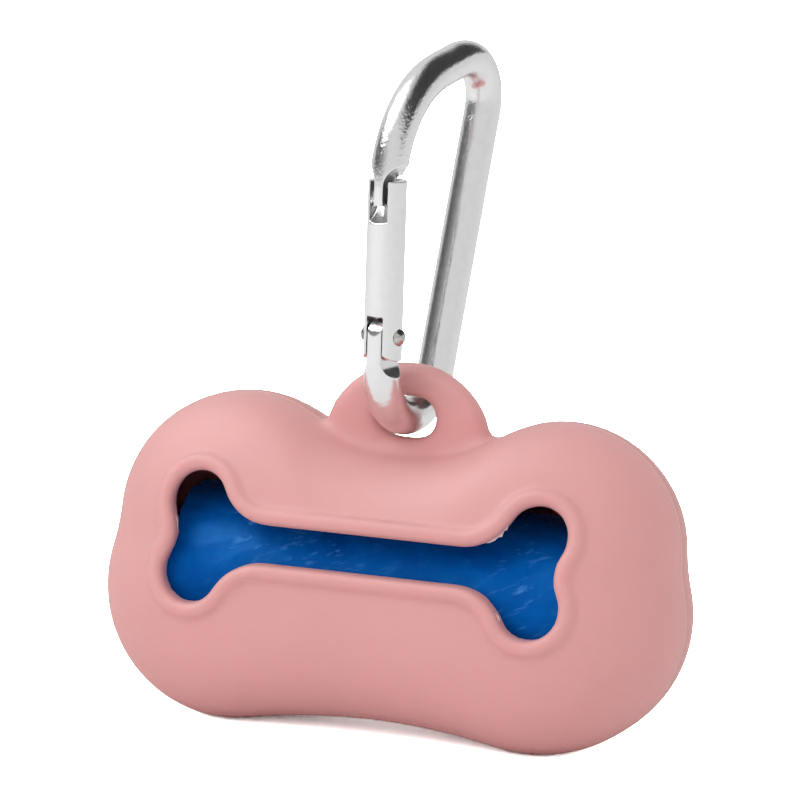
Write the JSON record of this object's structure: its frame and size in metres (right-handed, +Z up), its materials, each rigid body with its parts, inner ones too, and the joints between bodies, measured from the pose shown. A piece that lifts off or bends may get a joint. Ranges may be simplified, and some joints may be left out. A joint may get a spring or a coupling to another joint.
{
  "type": "dog waste bag dispenser",
  "caption": "Soft bone-shaped case with a bone-shaped front slot, a roll of perforated bags inside and a sprung snap hook through its top lug.",
  "frame": {"origin": "on the floor, at the middle of the overall bounding box seen from above", "axes": "+X to the object's right seen from its front, +Y to the back, +Z up through the snap hook; the slot faces -Y"},
  "size_m": [0.0874, 0.0398, 0.1013],
  "materials": {
    "silicone": "soft satin moulded silicone",
    "aluminium": "tumble polished",
    "rivet_steel": "plain turned",
    "spring_steel": "drawn wire",
    "cardboard": "uncoated grey-brown paper",
    "bag_film": "crinkled thin film"
  },
  "bodies": {
    "case": {"case": "silicone"},
    "hook": {"carabiner_frame": "aluminium"},
    "gate": {"gate": "aluminium", "gate_rivet": "rivet_steel", "gate_plunger": "rivet_steel", "gate_spring": "spring_steel"},
    "roll": {"roll_core": "cardboard", "bag_01": "bag_film", "bag_02": "bag_film", "bag_03": "bag_film", "bag_04": "bag_film", "bag_05": "bag_film", "bag_06": "bag_film", "bag_07": "bag_film", "bag_08": "bag_film", "bag_09": "bag_film", "bag_10": "bag_film", "bag_11": "bag_film", "bag_12": "bag_film", "bag_13": "bag_film", "bag_14": "bag_film", "bag_15": "bag_film"}
  },
  "joints": [
    {"name": "hook_tilt", "type": "hinge", "parent": "case", "child": "hook", "pos_m": [-0.0004, 0, 0.0541], "axis": [-0.9763, 0.2164, 0], "range_deg": [-75, 80]},
    {"name": "gate_hinge", "type": "hinge", "parent": "hook", "child": "gate", "pos_m": [-0.00213, -0.0078, 0.05887], "axis": [-0.9763, 0.2164, 0], "range_deg": [0, 30], "stiffness_Nm_per_rad": 0.02, "springref_deg": -28.65},
    {"name": "roll_spin", "type": "hinge", "parent": "case", "child": "roll", "pos_m": [0, -0.0004, 0.0193], "axis": [1, 0, 0], "continuous": true}
  ]
}
